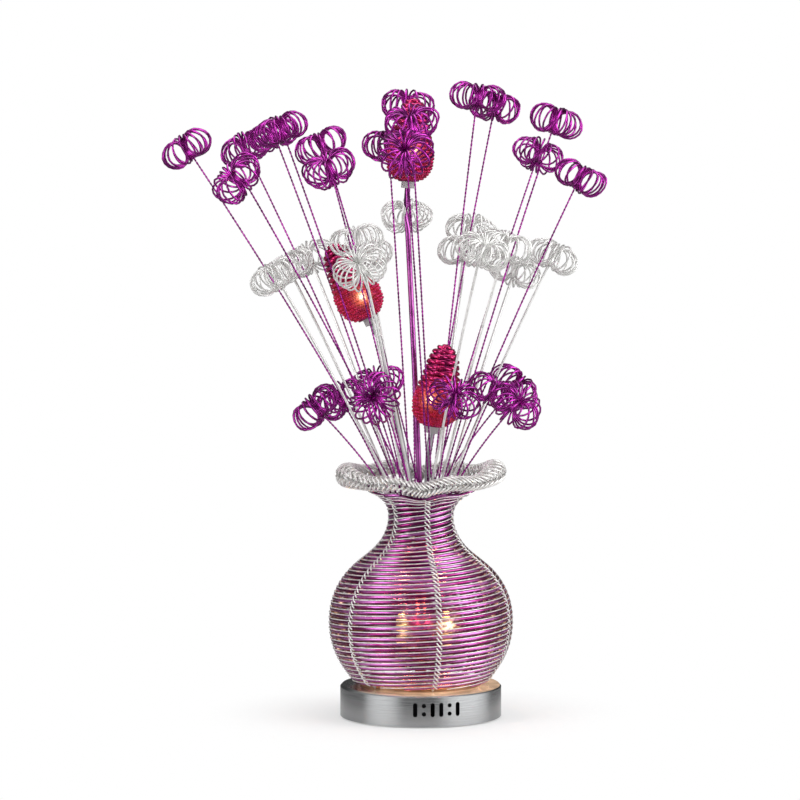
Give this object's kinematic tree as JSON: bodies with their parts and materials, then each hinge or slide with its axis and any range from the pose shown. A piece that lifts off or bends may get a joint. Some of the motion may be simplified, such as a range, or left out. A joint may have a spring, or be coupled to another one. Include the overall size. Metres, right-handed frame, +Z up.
{
  "type": "table lamp",
  "caption": "Wire table lamp: woven round vase on a low steel drum, lit bulbs inside, a spray of coiled wire flowers and wound teardrop shades on tall stems.",
  "frame": {"origin": "centre of the base pad's underside, on the table", "axes": "+Z up, -Y towards the vents in the base's front wall, +X to the right seen from the front"},
  "size_m": [0.3754, 0.2862, 0.5482],
  "materials": {
    "base_steel": "satin brushed",
    "plated_steel": "zinc plated",
    "cover_paint": "matt",
    "foam_pad": "matt",
    "bush": "matt",
    "case_plastic": "matt",
    "terminal_plastic": "matt",
    "lead_sleeve": "matt",
    "holder_plastic": "matt",
    "socket_ceramic": "matt",
    "stalk_grey": "satin",
    "purple_wire": "anodised",
    "silver_wire": "bright",
    "crimson_wire": "anodised",
    "bulb_glass": "clear, lit"
  },
  "bodies": {
    "lamp": {"base_housing": "base_steel", "bottom_cover": "cover_paint", "base_pad": "foam_pad", "cover_screws": "plated_steel", "cable_grommet": "bush", "transformer": "case_plastic", "terminal_block": "terminal_plastic", "centre_tube": "plated_steel", "lead_bundle": "lead_sleeve", "tube_fixings": "plated_steel", "vase_floor": "plated_steel", "lamp_bracket": "plated_steel", "vase_sockets": "socket_ceramic", "vase_purple_winding": "purple_wire", "vase_ribs": "silver_wire", "rim_hoop": "silver_wire", "rim_coil": "silver_wire", "stem_holder": "holder_plastic", "upper_stems": "purple_wire", "silver_stems": "silver_wire", "lower_stems": "purple_wire", "upper_back_flowers": "purple_wire", "upper_left_flowers": "purple_wire", "upper_front_flowers": "purple_wire", "upper_right_flowers": "purple_wire", "silver_left_flowers": "silver_wire", "silver_right_flowers": "silver_wire", "lower_left_flowers": "purple_wire", "lower_right_flowers": "purple_wire", "stalk_top": "stalk_grey", "lamp_socket_top": "socket_ceramic", "stalk_left": "stalk_grey", "lamp_socket_left": "socket_ceramic", "stalk_right": "stalk_grey", "lamp_socket_right": "socket_ceramic"},
    "shade_top_body": {"shade_top": "crimson_wire", "shade_collar_top": "crimson_wire"},
    "bulb_top_body": {"bulb_top": "bulb_glass"},
    "shade_left_body": {"shade_left": "crimson_wire", "shade_collar_left": "crimson_wire"},
    "bulb_left_body": {"bulb_left": "bulb_glass"},
    "shade_right_body": {"shade_right": "crimson_wire", "shade_collar_right": "crimson_wire"},
    "bulb_right_body": {"bulb_right": "bulb_glass"},
    "vase_bulb_left_body": {"vase_bulb_left": "bulb_glass"},
    "vase_bulb_right_body": {"vase_bulb_right": "bulb_glass"}
  },
  "joints": [
    {"name": "shade_top_lift", "type": "slide", "parent": "lamp", "child": "shade_top_body", "axis": [0.0592, -0.0515, 0.9969], "range_m": [0, 0.042]},
    {"name": "shade_left_lift", "type": "slide", "parent": "lamp", "child": "shade_left_body", "axis": [-0.4115, 0.1919, 0.891], "range_m": [0, 0.042]},
    {"name": "shade_right_lift", "type": "slide", "parent": "lamp", "child": "shade_right_body", "axis": [0.1483, -0.0723, 0.9863], "range_m": [0, 0.042]},
    {"name": "bulb_top_pull", "type": "slide", "parent": "lamp", "child": "bulb_top_body", "axis": [0.0592, -0.0515, 0.9969], "range_m": [0, 0.009]},
    {"name": "bulb_left_pull", "type": "slide", "parent": "lamp", "child": "bulb_left_body", "axis": [-0.4115, 0.1919, 0.891], "range_m": [0, 0.009]},
    {"name": "bulb_right_pull", "type": "slide", "parent": "lamp", "child": "bulb_right_body", "axis": [0.1483, -0.0723, 0.9863], "range_m": [0, 0.009]},
    {"name": "vase_bulb_left_pull", "type": "slide", "parent": "lamp", "child": "vase_bulb_left_body", "axis": [0, 0, 1], "range_m": [0, 0.009]},
    {"name": "vase_bulb_right_pull", "type": "slide", "parent": "lamp", "child": "vase_bulb_right_body", "axis": [0, 0, 1], "range_m": [0, 0.009]}
  ]
}
